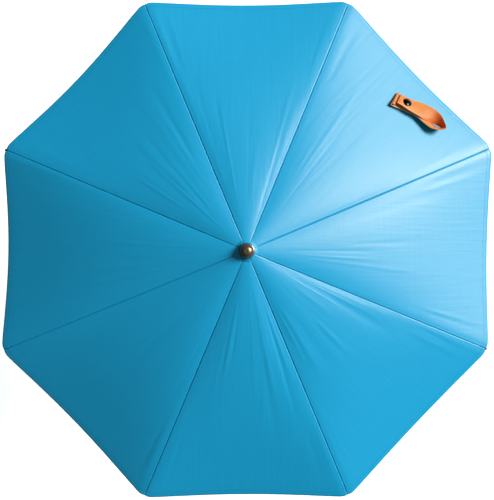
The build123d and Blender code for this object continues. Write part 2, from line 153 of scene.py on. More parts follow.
# ------------------------------------------------------------------ materials
def new_mat(name):
    m = bpy.data.materials.new(name)
    m.use_nodes = True
    nt = m.node_tree
    nt.nodes.clear()
    out = nt.nodes.new("ShaderNodeOutputMaterial")
    bsdf = nt.nodes.new("ShaderNodeBsdfPrincipled")
    nt.links.new(bsdf.outputs["BSDF"], out.inputs["Surface"])
    return m, nt, bsdf


def node(nt, kind, **props):
    n = nt.nodes.new(kind)
    for k, v in props.items():
        setattr(n, k, v)
    return n


def math_node(nt, op, a, b=None, c=None):
    n = nt.nodes.new("ShaderNodeMath")
    n.operation = op
    for i, v in enumerate((a, b, c)):
        if v is None:
            continue
        if isinstance(v, (int, float)):
            n.inputs[i].default_value = v
        else:
            nt.links.new(v, n.inputs[i])
    return n.outputs[0]


def mix_col(nt, fac, a, b, blend="MIX"):
    n = nt.nodes.new("ShaderNodeMix")
    n.data_type = "RGBA"
    n.blend_type = blend
    if isinstance(fac, (int, float)):
        n.inputs[0].default_value = fac
    else:
        nt.links.new(fac, n.inputs[0])
    for sock, v in ((n.inputs[6], a), (n.inputs[7], b)):
        if isinstance(v, tuple):
            sock.default_value = (*v, 1.0)
        else:
            nt.links.new(v, sock)
    return n.outputs[2]


def noise(nt, vec, scale, detail=2.0, rough=0.5):
    n = nt.nodes.new("ShaderNodeTexNoise")
    n.inputs["Scale"].default_value = scale
    n.inputs["Detail"].default_value = detail
    n.inputs["Roughness"].default_value = rough
    nt.links.new(vec, n.inputs["Vector"])
    return n.outputs["Fac"]


def ramp(nt, fac, stops):
    n = nt.nodes.new("ShaderNodeValToRGB")
    el = n.color_ramp.elements
    while len(el) < len(stops):
        el.new(0.5)
    for e, (p, c) in zip(el, stops):
        e.position = p
        e.color = (*c, 1.0) if len(c) == 3 else c
    nt.links.new(fac, n.inputs["Fac"])
    return n.outputs["Color"]


def bump(nt, height, strength, distance, normal=None):
    n = nt.nodes.new("ShaderNodeBump")
    n.inputs["Strength"].default_value = strength
    n.inputs["Distance"].default_value = distance
    nt.links.new(height, n.inputs["Height"])
    if normal is not None:
        nt.links.new(normal, n.inputs["Normal"])
    return n.outputs["Normal"]


CLOTH_BASE = (0.0, 0.475, 0.875)
KEY, KEY_AZ, KEY_EL = 3.92, 22.0, 38.0
FILL = 0.37
WORLD = 0.006
FLOOR_GLOW = 0.60


def cloth_material():
    m, nt, b = new_mat("canopy_cloth")
    uv = node(nt, "ShaderNodeUVMap", uv_map="weave")
    sep = node(nt, "ShaderNodeSeparateXYZ")
    nt.links.new(uv.outputs["UV"], sep.inputs[0])
    # plain weave: warp and weft threads 0.5 mm apart, over and under in turn
    k = 2 * math.pi / 0.5
    wx = math_node(nt, "SINE", math_node(nt, "MULTIPLY", sep.outputs["X"], k))
    wy = math_node(nt, "SINE", math_node(nt, "MULTIPLY", sep.outputs["Y"], k))
    over = math_node(nt, "MULTIPLY", math_node(nt, "SINE", math_node(nt, "MULTIPLY", sep.outputs["X"], k / 2)),
                     math_node(nt, "SINE", math_node(nt, "MULTIPLY", sep.outputs["Y"], k / 2)))
    weave = math_node(nt, "ADD", math_node(nt, "MULTIPLY", math_node(nt, "ADD", math_node(nt, "ABSOLUTE", wx), math_node(nt, "ABSOLUTE", wy)), 0.35),
                      math_node(nt, "MULTIPLY", over, 0.5))
    # slubs: long faint threads that run a little thick, both ways
    mp1 = node(nt, "ShaderNodeMapping"); mp1.inputs["Scale"].default_value = (0.035, 2.2, 1.0)
    mp2 = node(nt, "ShaderNodeMapping"); mp2.inputs["Scale"].default_value = (2.2, 0.035, 1.0)
    for mp in (mp1, mp2):
        nt.links.new(uv.outputs["UV"], mp.inputs["Vector"])
    s1 = noise(nt, mp1.outputs[0], 1.0, 2.0)
    s2 = noise(nt, mp2.outputs[0], 1.0, 2.0)
    slub = math_node(nt, "MULTIPLY", math_node(nt, "ADD", s1, s2), 0.5)
    cloud = noise(nt, uv.outputs["UV"], 0.012, 3.0, 0.55)
    # streaks a few millimetres wide, along warp and weft: uneven yarn, and tension lines whose shade is painted into
    # the colour
    mp3 = node(nt, "ShaderNodeMapping"); mp3.inputs["Scale"].default_value = (0.014, 0.21, 1.0)
    mp4 = node(nt, "ShaderNodeMapping"); mp4.inputs["Scale"].default_value = (0.24, 0.016, 1.0)
    for mp in (mp3, mp4):
        nt.links.new(uv.outputs["UV"], mp.inputs["Vector"])
    streak = math_node(nt, "ADD", math_node(nt, "MULTIPLY", noise(nt, mp3.outputs[0], 1.0, 3.0), 0.70),
                       math_node(nt, "MULTIPLY", noise(nt, mp4.outputs[0], 1.0, 3.0), 0.30))
    sfac = node(nt, "ShaderNodeMapRange")
    sfac.inputs["From Min"].default_value, sfac.inputs["From Max"].default_value = 0.34, 0.66
    sfac.inputs["To Min"].default_value, sfac.inputs["To Max"].default_value = 0.0, 0.22
    nt.links.new(streak, sfac.inputs["Value"])
    # colour: dye a little uneven; the threads' valleys painted a touch darker as shade
    dark = tuple(c * 0.90 for c in CLOTH_BASE)
    light = (0.0, CLOTH_BASE[1] * 1.07, min(1.0, CLOTH_BASE[2] * 1.05))
    col = mix_col(nt, math_node(nt, "MULTIPLY", slub, 1.0), dark, light)
    col = mix_col(nt, math_node(nt, "MULTIPLY", cloud, 0.30), col, tuple(c * 0.86 for c in CLOTH_BASE))
    # painted shade: the weave's valleys between the threads drawn darker
    col = mix_col(nt, math_node(nt, "MULTIPLY", math_node(nt, "SUBTRACT", 1.0, weave), 0.10), col, tuple(c * 0.6 for c in CLOTH_BASE))
    # streaks darken the colour: partly the yarn's uneven tone, partly painted shade along the tension lines
    col = mix_col(nt, sfac.outputs["Result"], col, tuple(c * 0.78 for c in CLOTH_BASE))
    # painted shade: the seam's groove and stitch holes drawn darker through the seam attribute
    seam = node(nt, "ShaderNodeAttribute", attribute_name="seam")
    sdark = math_node(nt, "MULTIPLY", seam.outputs["Fac"], 0.24)
    col = mix_col(nt, sdark, col, (0.0, 0.115, 0.27))
    nt.links.new(col, b.inputs["Base Color"])
    r = math_node(nt, "ADD", 0.38, math_node(nt, "MULTIPLY", slub, 0.10))
    nt.links.new(r, b.inputs["Roughness"])
    b.inputs["Specular IOR Level"].default_value = 0.92
    b.inputs["Specular Tint"].default_value = (1.0, 0.79, 0.42, 1.0)
    b.inputs["Coat Weight"].default_value = 0.12
    b.inputs["Coat Roughness"].default_value = 0.42
    b.inputs["Coat IOR"].default_value = 1.5
    n1 = bump(nt, weave, 0.25, 0.00006)
    n2 = bump(nt, slub, 0.30, 0.00025, n1)
    n3 = bump(nt, streak, 0.30, 0.0007, n2)
    nt.links.new(n3, b.inputs["Normal"])
    return m


def thread_material():
    m, nt, b = new_mat("seam_thread")
    tc = node(nt, "ShaderNodeTexCoord")
    f = noise(nt, tc.outputs["Object"], 2500.0, 2.0)
    col = mix_col(nt, f, (0.0, 0.14, 0.30), (0.0, 0.22, 0.42))
    nt.links.new(col, b.inputs["Base Color"])
    b.inputs["Roughness"].default_value = 0.6
    nt.links.new(bump(nt, f, 0.5, 0.0001), b.inputs["Normal"])
    return m


def leather_material():
    m, nt, b = new_mat("leather")
    tc = node(nt, "ShaderNodeTexCoord")
    obj = tc.outputs["Object"]
    big = noise(nt, obj, 55.0, 4.0, 0.6)
    mid = noise(nt, obj, 260.0, 3.0, 0.55)
    v = node(nt, "ShaderNodeTexVoronoi", feature="DISTANCE_TO_EDGE")
    v.inputs["Scale"].default_value = 900.0
    nt.links.new(obj, v.inputs["Vector"])
    grain = v.outputs["Distance"]
    col = ramp(nt, big, [(0.28, (0.70, 0.205, 0.040)), (0.50, (0.89, 0.325, 0.085)), (0.72, (0.97, 0.44, 0.155))])
    col = mix_col(nt, math_node(nt, "MULTIPLY", mid, 0.35), col, (0.70, 0.20, 0.04))
    pore = math_node(nt, "LESS_THAN", grain, 0.06)
    col = mix_col(nt, math_node(nt, "MULTIPLY", pore, 0.22), col, (0.36, 0.09, 0.02))
    # painted highlight: the leather's edges lightened, as light catches the rim
    edge = node(nt, "ShaderNodeAttribute", attribute_name="edge")
    col = mix_col(nt, math_node(nt, "MULTIPLY", edge.outputs["Fac"], 0.65), col, (0.92, 0.46, 0.22))
    # painted shade: a dark red laid where the far end of the strap turns away from the light, through the inner
    # attribute
    inner = node(nt, "ShaderNodeAttribute", attribute_name="inner")
    col = mix_col(nt, math_node(nt, "MULTIPLY", inner.outputs["Fac"], 0.85), col, (0.80, 0.13, 0.012))
    nt.links.new(col, b.inputs["Base Color"])
    r = math_node(nt, "ADD", 0.40, math_node(nt, "MULTIPLY", big, 0.22))
    nt.links.new(r, b.inputs["Roughness"])
    b.inputs["Specular IOR Level"].default_value = 0.45
    n1 = bump(nt, grain, 0.35, 0.00025)
    n2 = bump(nt, mid, 0.30, 0.0006, n1)
    nt.links.new(n2, b.inputs["Normal"])
    return m


def metal_material(name, a, c, rough, scale=220.0, wear=(0.5, 0.5, 0.5), wear_amount=0.15, metallic=1.0, brushed=None):
    m, nt, b = new_mat(name)
    tc = node(nt, "ShaderNodeTexCoord")
    obj = tc.outputs["Object"]
    if brushed:
        mp = node(nt, "ShaderNodeMapping")
        mp.inputs["Scale"].default_value = brushed
        nt.links.new(obj, mp.inputs["Vector"])
        vec = mp.outputs[0]
    else:
        vec = obj
    f = noise(nt, vec, scale, 4.0, 0.6)
    g = noise(nt, obj, 35.0, 3.0, 0.5)
    col = mix_col(nt, f, a, c)
    col = mix_col(nt, math_node(nt, "MULTIPLY", math_node(nt, "GREATER_THAN", g, 0.62), wear_amount), col, wear)
    nt.links.new(col, b.inputs["Base Color"])
    b.inputs["Metallic"].default_value = metallic
    r = math_node(nt, "ADD", rough, math_node(nt, "MULTIPLY", f, 0.12))
    nt.links.new(r, b.inputs["Roughness"])
    nt.links.new(bump(nt, f, 0.12, 0.0002), b.inputs["Normal"])
    return m


def plastic_material():
    m, nt, b = new_mat("black_plastic")
    tc = node(nt, "ShaderNodeTexCoord")
    obj = tc.outputs["Object"]
    f = noise(nt, obj, 1400.0, 2.0, 0.6)
    g = noise(nt, obj, 24.0, 3.0, 0.5)
    col = mix_col(nt, g, (0.018, 0.019, 0.021), (0.034, 0.035, 0.037))
    nt.links.new(col, b.inputs["Base Color"])
    r = math_node(nt, "ADD", 0.42, math_node(nt, "MULTIPLY", g, 0.14))
    nt.links.new(r, b.inputs["Roughness"])
    nt.links.new(bump(nt, f, 0.25, 0.00012), b.inputs["Normal"])
    return m


MAT_CLOTH = cloth_material()
MAT_THREAD = thread_material()
MAT_LEATHER = leather_material()
MAT_BRONZE = metal_material("bronze_metal", (0.27, 0.195, 0.13), (0.38, 0.28, 0.19), 0.29, 90.0, (0.36, 0.29, 0.20), 0.25, metallic=0.8)
MAT_SNAP = metal_material("snap_metal", (0.025, 0.025, 0.030), (0.045, 0.045, 0.050), 0.18, 300.0, (0.16, 0.16, 0.17), 0.2)
MAT_STEEL = metal_material("plated_steel", (0.32, 0.33, 0.35), (0.44, 0.45, 0.47), 0.27, 160.0, (0.30, 0.29, 0.28), 0.25)
MAT_TUBE = metal_material("painted_tube", (0.36, 0.37, 0.39), (0.44, 0.45, 0.47), 0.36, 700.0, (0.30, 0.30, 0.31), 0.12, metallic=0.65)
MAT_PLASTIC = plastic_material()

# ------------------------------------------------------------------ canopy shape
rng = np.random.default_rng(7)


def hem_point(gore, s):
    """Plan point of the hem of a gore, in the gore's own frame (x out along its middle,
    y anticlockwise), at s from -1 (the rib before it) to 1 (the rib after it)."""
    r0 = TIP_R + TIP_VAR[(gore - 1) % RIBS]
    r1 = TIP_R + TIP_VAR[gore % RIBS]
    x0, y0 = r0 * math.cos(HALF), -r0 * math.sin(HALF)
    x1, y1 = r1 * math.cos(HALF), r1 * math.sin(HALF)
    t = (s + 1) / 2
    x = x0 + (x1 - x0) * t
    y = y0 + (y1 - y0) * t
    x = x - EDGE_IN[gore % RIBS] * np.clip(1 - s * s, 0, 1) ** 1.5
    # the corner itself is a little blunt
    d = (1 - np.abs(s)) * (y1 - y0) / 2
    cut = 3.4 * np.exp(-(d / 5.0) ** 1.4)
    a = np.where(s < 0, -HALF, HALF)
    return x - cut * np.cos(a), y - cut * np.sin(a)


def crease_set(gore):
    """Soft tension creases of one gore: (place across, width, height, where along)."""
    strong = {7: 1.0, 3: 0.9, 2: 0.75, 6: 0.9, 0: 0.5, 1: 0.42, 4: 0.6, 5: 0.55}[gore % RIBS]
    out = []
    for _ in range(15):
        s = rng.uniform(-0.92, 0.92)
        w = rng.uniform(0.035, 0.11)
        h = rng.uniform(-1, 1) * 0.46 * strong
        f0 = rng.uniform(0.02, 0.35)
        f1 = f0 + rng.uniform(0.25, 0.6)
        drift = rng.uniform(-0.06, 0.06)
        out.append((s, w, h, f0, f1, drift))
    for side in (-1, 1):
        # pull lines that start at the rib tips and run back into the gore
        for j in range(5):
            s = side * rng.uniform(0.80, 0.97)
            out.append((s, rng.uniform(0.02, 0.05), rng.uniform(-1, 1) * 0.22, 0.66, 1.02, -side * rng.uniform(0.02, 0.12)))
    return out


CREASES = {g: crease_set(g) for g in range(RIBS)}


def sag(f):
    """How far the middle of a gore lies below the chord between its ribs, mm."""
    return -6.0 * np.sin(np.pi * np.clip(f, 0, 1) ** 0.85) - 0.6 * smooth(0.85, 1.0, f)


def cloth_point(gore, s, f, with_seam=True):
    """Upper face of the cloth in the row frame, mm, for arrays s and f."""
    hx, hy = hem_point(gore, s)
    ang = s * HALF
    ix, iy = IN_R * np.cos(ang), IN_R * np.sin(ang)
    x = ix + f * (hx - ix)
    y = iy + f * (hy - iy)
    a = np.abs(s)
    # height: the rib's own line at the ribs, a chord between them, and the sag
    r0 = TIP_R + TIP_VAR[(gore - 1) % RIBS]
    r1 = TIP_R + TIP_VAR[gore % RIBS]
    rr = IN_R + f * ((r0 + (r1 - r0) * (s + 1) / 2) - IN_R)
    z = rib_z(np.minimum(rr, ARC_R * 0.9), CLOTH_TOP)
    z = z - sag(f) * (1 - a ** 2.2)
    half = f * (TIP_R - IN_R) * math.sin(HALF) + IN_R * math.sin(HALF)
    for (s0, w, h, f0, f1, drift) in CREASES[gore % RIBS]:
        c = s0 + drift * (f - f0)
        ww = w * (0.55 + 0.45 * f)
        z = z + h * np.exp(-((s - c) / ww) ** 2) * smooth(f0, f0 + 0.12, f) * (1 - smooth(f1 - 0.2, f1, f)) * np.clip(half / 60.0, 0.25, 1.3)
    # distance from the seam, mm
    t = (1 - a) * half
    if with_seam:
        fall = np.clip(f * 12, 0.35, 1)
        z = z - 0.62 * np.exp(-(t / 0.60) ** 2) * fall + 0.24 * np.exp(-((t - 1.55) / 0.8) ** 2) * fall
        # the cloth puckers a little along the stitching
        z = z + 0.16 * np.sin(f * 2 * np.pi * 46 + 1.7 * gore) * np.exp(-(t / 4.0) ** 2) * fall * (0.4 + 0.6 * smooth(0.55, 1.0, f))
    return x, y, z


def to_row(gore, x, y, z):
    a = math.radians(45.0 * gore)
    return x * math.cos(a) - y * math.sin(a), x * math.sin(a) + y * math.cos(a), z + NOTCH


NEAR = np.array([0.0, 0.45, 0.9, 1.4, 2.0, 2.8, 4.0])
N_FAR = 46
N_RAD = 104


def sector_columns(f):
    """|s| measured from the rib (0 at the rib, 1 at the gore's middle) for one row."""
    half = f * (TIP_R - IN_R) * math.sin(HALF) + IN_R * math.sin(HALF)
    k = min(1.0, 0.55 * half / NEAR[-1])
    near = NEAR * k / half
    far = near[-1] + (1 - near[-1]) * (np.arange(1, N_FAR + 1) / N_FAR)
    return np.concatenate([near, far])


FS = np.concatenate([np.linspace(0, 0.97, N_RAD - 8) , np.linspace(0.976, 1.0, 8)])
HEM_W = 7.0


def make_sector(k):
    """Cloth either side of rib k (0-based): gore k on its clockwise side, gore k+1 after."""
    rows_top, rows_bot, seam, uv = [], [], [], []
    ncol = 2 * (len(NEAR) + N_FAR) - 1
    for f in FS:
        d = sector_columns(f)
        left_s = 1 - d[::-1]               # gore k: s from 0 (middle) up to 1 (this rib)
        right_s = -1 + d[1:]               # gore k+1: s from -1 (this rib) to 0
        ff = np.full(len(left_s), f)
        lx, ly, lz = cloth_point(k, left_s, ff)
        gx, gy = lx, ly
        lu = np.stack([gx, gy], 1)
        L = np.stack(to_row(k, lx, ly, lz), 1)
        fr = np.full(len(right_s), f)
        rx, ry, rz = cloth_point(k + 1, right_s, fr)
        ru = np.stack([rx, ry + 900.0], 1)
        R = np.stack(to_row(k + 1, rx, ry, rz), 1)
        row = np.concatenate([L, R])
        rows_top.append(row)
        uv.append(np.concatenate([lu, ru]))
        half = f * (TIP_R - IN_R) * math.sin(HALF) + IN_R * math.sin(HALF)
        t = np.concatenate([d[::-1], d[1:]]) * half
        # stitch holes and the groove's shade, dashed along the seam
        dash = 0.78 + 0.22 * math.sin(f * (TIP_R - IN_R) * 2 * math.pi / 5.2)
        seam.append(np.exp(-(t / 0.62) ** 2) * dash)
    top = np.array(rows_top)               # (nf, ncol, 3)
    uv = np.array(uv)
    seam = np.array(seam)
    # normals of the upper face
    du = np.gradient(top, axis=1)
    df = np.gradient(top, axis=0)
    n = np.cross(df, du)
    n /= np.linalg.norm(n, axis=2, keepdims=True)
    n[n[:, :, 2] < 0] *= -1
    # roll the hem: the last rows turn down
    nf = len(FS)
    dist = (1 - FS) * (TIP_R - IN_R) * 0.93
    roll = np.exp(-(dist / 0.7) ** 2) * 0.8
    thick = CLOTH_T + 0.55 * (1 - smooth(HEM_W - 0.6, HEM_W + 0.4, dist))
    groove = 0.05 * np.exp(-((dist - HEM_W + 1.2) / 0.8) ** 2)
    top[:, :, 2] -= (roll + groove)[:, None]
    bot = top - n * thick[:, None, None]
    verts = np.concatenate([top.reshape(-1, 3), bot.reshape(-1, 3)]) * MM
    nt_ = nf * ncol
    faces, sharp = [], []
    for i in range(nf - 1):
        for j in range(ncol - 1):
            a, b_, c, d_ = i * ncol + j, i * ncol + j + 1, (i + 1) * ncol + j + 1, (i + 1) * ncol + j
            faces.append((a, d_, c, b_))
            faces.append((nt_ + a, nt_ + b_, nt_ + c, nt_ + d_))
    def rim(seq):
        for p, q in zip(seq, seq[1:]):
            faces.append((p, q, nt_ + q, nt_ + p))
            sharp.append((p, q)); sharp.append((nt_ + p, nt_ + q))
    inner = list(range(ncol))
    outer = [(nf - 1) * ncol + j for j in range(ncol)][::-1]
    leftc = [i * ncol for i in range(nf)][::-1]
    rightc = [i * ncol + ncol - 1 for i in range(nf)]
    for seq in (inner, rightc, outer, leftc):
        rim(seq)
    ob = mesh_object(f"canopy_cloth_{k + 1}", verts, faces)
    me = ob.data
    mark_sharp(ob, sharp)
    bm = bmesh.new(); bm.from_mesh(me)
    bmesh.ops.recalc_face_normals(bm, faces=bm.faces[:])
    bm.to_mesh(me); bm.free()
    att = me.attributes.new("seam", "FLOAT", "POINT")
    att.data.foreach_set("value", np.concatenate([seam.ravel(), seam.ravel() * 0.6]).astype(np.float32))
    layer = me.uv_layers.new(name="weave")
    uvall = np.concatenate([uv.reshape(-1, 2), uv.reshape(-1, 2)])
    idx = np.zeros(len(me.loops), np.int32)
    me.loops.foreach_get("vertex_index", idx)
    # the rib column belongs to both gores; each face takes the coordinates of its own gore
    mid = len(NEAR) + N_FAR - 1
    right_of = np.zeros(len(me.loops), bool)
    mid_uv_right = {}
    for i in range(nf):
        d = sector_columns(FS[i])
        x, y, _ = cloth_point(k + 1, np.array([-1.0]), np.array([FS[i]]))
        mid_uv_right[i] = (float(x[0]), float(y[0]) + 900.0)
    vals = uvall[idx]
    for p in me.polygons:
        vs = [int(v) % nt_ for v in p.vertices]
        cols = [v % ncol for v in vs]
        if max(cols) > mid:
            for li, v, c in zip(p.loop_indices, vs, cols):
                if c == mid:
                    vals[li] = mid_uv_right[v // ncol]
    layer.data.foreach_set("uv", vals.astype(np.float32).ravel())
    ob.data.materials.append(MAT_CLOTH)
    flat = 0.0
    tp = top
    a_ = tp[:-1, :-1]; b_ = tp[:-1, 1:]; c_ = tp[1:, 1:]; d_ = tp[1:, :-1]
    flat = (np.linalg.norm(np.cross(b_ - a_, c_ - a_), axis=2).sum() + np.linalg.norm(np.cross(c_ - a_, d_ - a_), axis=2).sum()) / 2
    return ob, flat


def rib_dir(k):
    a = math.radians(RIB_AZ[k])
    return Vector((math.cos(a), math.sin(a), 0.0)), Vector((-math.sin(a), math.cos(a), 0.0))


sectors = []
for k in range(RIBS):
    ob, flat = make_sector(k)
    sectors.append((ob, flat))


def capsule_rows(points, dirs, ups, length, r, sides=6):
    """Many short thread stitches as one mesh."""
    verts, faces = [], []
    prof = [(-0.5, 0.0), (-0.42, 0.75), (-0.2, 1.0), (0.2, 1.0), (0.42, 0.75), (0.5, 0.0)]
    for p, d, u in zip(points, dirs, ups):
        d = d / np.linalg.norm(d)
        w = np.cross(u, d); w /= np.linalg.norm(w)
        u2 = np.cross(d, w)
        base = len(verts)
        rings = []
        for (l, rr) in prof:
            c = p + d * l * length
            if rr == 0.0:
                rings.append([len(verts)]); verts.append(c)
            else:
                ring = []
                for i in range(sides):
                    a = 2 * math.pi * i / sides
                    ring.append(len(verts))
                    verts.append(c + (w * math.cos(a) + u2 * math.sin(a)) * r * rr)
                rings.append(ring)
        for A, B in zip(rings, rings[1:]):
            for i in range(sides):
                j = (i + 1) % sides
                if len(A) == 1:
                    faces.append((A[0], B[j], B[i]))
                elif len(B) == 1:
                    faces.append((A[i], A[j], B[0]))
                else:
                    faces.append((A[i], A[j], B[j], B[i]))
    return np.array(verts) * MM, faces


stitch_objs = []
for k in range(RIBS):
    # along the seam, in the groove
    pts, dirs, ups = [], [], []
    n = 132
    fs = np.linspace(0.016, 0.985, n)
    x, y, z = cloth_point(k, np.full(n, 1.0), fs)
    P = np.stack(to_row(k, x, y, z), 1)
    D = np.gradient(P, axis=0)
    for i in range(n):
        pts.append(P[i] + np.array([0, 0, 0.22])); dirs.append(D[i]); ups.append(np.array([0, 0, 1.0]))
    # along the hem, both sides of the rib
    for g, sgn in ((k, 1), (k + 1, -1)):
        m = 52
        s = sgn * np.linspace(0.985, 0.012, m)
        fh = 1 - (HEM_W - 1.2) / ((TIP_R - IN_R) * 0.93)
        x, y, z = cloth_point(g, s, np.full(m, fh))
        Q = np.stack(to_row(g, x, y, z), 1)
        E = np.gradient(Q, axis=0)
        for i in range(m):
            pts.append(Q[i] + np.array([0, 0, -0.03])); dirs.append(E[i]); ups.append(np.array([0, 0, 1.0]))
    v, f = capsule_rows(pts, dirs, ups, 2.1, 0.17)
    ob = mesh_object(f"seam_stitches_{k + 1}", v, f)
    ob.data.materials.append(MAT_THREAD)
    stitch_objs.append(ob)

# ------------------------------------------------------------------ crown cap (fixed cloth)
def make_top_cap():
    rings = [5.3, 7.5, 9.5, 10.5, 11.2, 11.9, 12.6, 13.3, 14.0, 14.6]
    zs = [5.9, 5.9, 5.85, 5.65, 5.30, 4.85, 4.35, 3.85, 3.35, 2.95]
    n = 192
    verts, seam, uv = [], [], []
    for layer in (0, 1):
        for r, z in zip(rings, zs):
            for i in range(n):
                a = 2 * math.pi * i / n
                # distance from the nearest rib's seam
                q = ((math.degrees(a) - 22.5 + 22.5) % 45.0) - 22.5
                t = r * math.radians(abs(q))
                zz = z - 0.5 * math.exp(-(t / 0.7) ** 2) * (r > 9.0) + 0.2 * math.exp(-((t - 1.9) / 0.9) ** 2) * (r > 9.0)
                zz += 0.06 * math.cos(math.radians(q) * 8 * 2) * (r > 10)
                if layer:
                    zz -= 0.35
                verts.append((r * math.cos(a), r * math.sin(a), NOTCH + zz))
                # seam attribute: painted shade of the seam groove, drawn darker by the cloth's colour
                seam.append(0.9 * math.exp(-(t / 0.5) ** 2) * (1 if r > 9.0 else 0))
                uv.append((r * math.cos(a), r * math.sin(a)))
    faces, sharp = [], []
    m = len(rings)
    for i in range(m - 1):
        for j in range(n):
            jj = (j + 1) % n
            a, b, c, d = i * n + j, i * n + jj, (i + 1) * n + jj, (i + 1) * n + j
            faces.append((a, d, c, b))
            o = m * n
            faces.append((o + a, o + b, o + c, o + d))
    for j in range(n):
        jj = (j + 1) % n
        o = m * n
        faces.append((j, jj, o + jj, o + j))
        a, b = (m - 1) * n + j, (m - 1) * n + jj
        faces.append((b, a, o + a, o + b))
        sharp += [(j, jj), (o + j, o + jj), (a, b), (o + a, o + b)]
    ob = mesh_object("crown_cap_cloth", np.array(verts) * MM, faces)
    mark_sharp(ob, sharp)
    bm = bmesh.new(); bm.from_mesh(ob.data)
    bmesh.ops.recalc_face_normals(bm, faces=bm.faces[:])
    bm.to_mesh(ob.data); bm.free()
    att = ob.data.attributes.new("seam", "FLOAT", "POINT")
    att.data.foreach_set("value", np.array(seam, np.float32))
    layer = ob.data.uv_layers.new(name="weave")
    idx = np.zeros(len(ob.data.loops), np.int32)
    ob.data.loops.foreach_get("vertex_index", idx)
    layer.data.foreach_set("uv", np.array(uv, np.float32)[idx].ravel())
    ob.data.materials.append(MAT_CLOTH)
    return ob


cap = make_top_cap()
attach(cap, "upper_shaft")
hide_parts("top_cap")

# ------------------------------------------------------------------ finial
fz = NOTCH + 6.0


def finial_profile():
    p = [(0.0, fz), (6.0, fz), (9.9, fz), (10.65, fz + 0.12), (10.95, fz + 0.5), (10.95, fz + 1.6), (10.75, fz + 2.1), (10.3, fz + 2.4),
         (9.8, fz + 2.5), (9.6, fz + 2.62), (9.5, fz + 2.95), (9.6, fz + 3.4)]
    for i in range(1, 17):
        t = math.radians(90 * i / 17.5)
        p.append((1.5 + 8.1 * math.cos(t) ** 0.95, fz + 3.4 + 8.2 * math.sin(t)))
    p += [(1.55, fz + 11.62), (1.35, fz + 11.35), (1.15, fz + 10.9), (0.0, fz + 10.75)]
    return p


finial = lathe("finial_dome", finial_profile(), 96)
sharp_by_angle(finial, 40)
finial.data.materials.append(MAT_BRONZE)
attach(finial, "upper_shaft")
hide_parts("finial")

# ------------------------------------------------------------------ closure strap
PX = 1.384            # millimetres for one step of the strap's plan grid
PLAN0 = (246.2, 249.4)
STRAP0 = (394.0, 98.0)     # the grid's point under the strap's sewn end
STRAP_T = 1.7


def plan(u, v):
    return ((u - PLAN0[0]) * PX * 0.989, (PLAN0[1] - v) * PX * 0.989)


def strap_plan(s, q):
    """s steps along the strap, q steps across it towards its raised edge."""
    return plan(STRAP0[0] + 0.874 * s - 0.487 * q, STRAP0[1] + 0.487 * s + 0.874 * q)


def cloth_height(x, y):
    """Upper face of the cloth (smooth shape) under a plan point of the strap's gore."""
    a = math.radians(45.0)
    gx, gy = x * math.cos(a) + y * math.sin(a), -x * math.sin(a) + y * math.cos(a)
    s, f = 0.0, 0.8
    for _ in range(40):
        px, py, pz = cloth_point(1, np.array([s]), np.array([f]), False)
        f += (gx - px[0]) / (TIP_R * 0.9)
        s += (gy - py[0]) / max(20.0, f * TIP_R * math.sin(HALF))
    return float(pz[0]) + NOTCH


# The strap is one ribbon: from the snap end over to its far end, round, and back
# under itself to the sewn end, which curls up. Each row is a straight line across it:
# (s, q, height over the cloth) of its two edges, and how much painted shade, a dark red, lies on it where its far end
# turns from the light.
ROWS = [
    ((4.1, 2.5, 11.5), (4.0, -7.6, 4.2), 0.0),
    ((8.5, 2.2, 11.9), (9.0, -7.9, 4.0), 0.0),
    ((16.0, 2.8, 12.4), (16.2, -8.3, 4.1), 0.0),
    ((23.0, 2.9, 12.3), (23.0, -9.6, 5.0), 0.0),
    ((29.0, 3.0, 11.8), (29.5, -10.6, 7.8), 0.0),
    ((36.0, 3.4, 10.6), (36.5, -10.9, 11.6), 0.12),
    ((41.4, 2.9, 8.4), (43.0, -10.5, 14.4), 0.4),
    ((46.0, 2.2, 5.6), (48.5, -8.9, 17.2), 0.8),
    ((50.6, 1.9, 3.6), (53.2, -6.2, 19.0), 1.0),
    ((54.4, 1.5, 2.6), (56.8, -3.1, 20.0), 1.0),
    ((56.4, 1.6, 2.2), (59.0, -0.7, 20.0), 1.0),
    ((55.6, 2.5, 2.2), (59.4, 1.2, 19.4), 0.8),
    ((52.4, 3.6, 2.8), (57.0, 3.9, 18.2), 0.35),
    ((48.6, 4.3, 3.4), (53.6, 5.8, 16.6), 0.1),
    ((45.6, 4.1, 4.0), (48.8, 7.4, 14.4), 0.0),
    ((43.2, 3.0, 4.4), (45.0, 7.6, 12.8), 0.0),
    ((40.4, 0.8, 4.4), (41.4, 7.2, 11.2), 0.0),
    ((35.0, -4.0, 3.8), (34.6, 5.9, 9.0), 0.0),
    ((28.0, -7.6, 2.6), (27.0, 4.7, 6.8), 0.0),
    ((20.0, -7.9, 1.7), (19.6, 5.4, 5.2), 0.0),
    ((13.0, -7.4, 1.4), (13.2, 5.7, 4.4), 0.0),
    ((7.4, -6.8, 1.3), (7.4, 6.6, 4.2), 0.0),
    ((3.2, -6.4, 1.4), (3.2, 7.2, 4.4), 0.0),
    ((1.8, -6.4, 1.7), (1.5, 7.3, 4.8), 0.0),
    ((0.7, -6.7, 2.4), (0.3, 6.9, 5.6), 0.0),
    ((0.5, -7.1, 3.2), (0.0, 6.1, 6.9), 0.0),
    ((1.1, -7.5, 3.9), (0.7, 5.2, 8.4), 0.0),
    ((2.2, -7.6, 4.2), (2.0, 4.7, 9.0), 0.0),
    ((3.1, -7.4, 3.7), (3.1, 4.9, 8.3), 0.0),
    ((3.0, -7.0, 3.2), (3.0, 5.5, 7.3), 0.2),
    ((2.2, -6.9, 3.1), (2.1, 5.8, 7.0), 0.4),
]


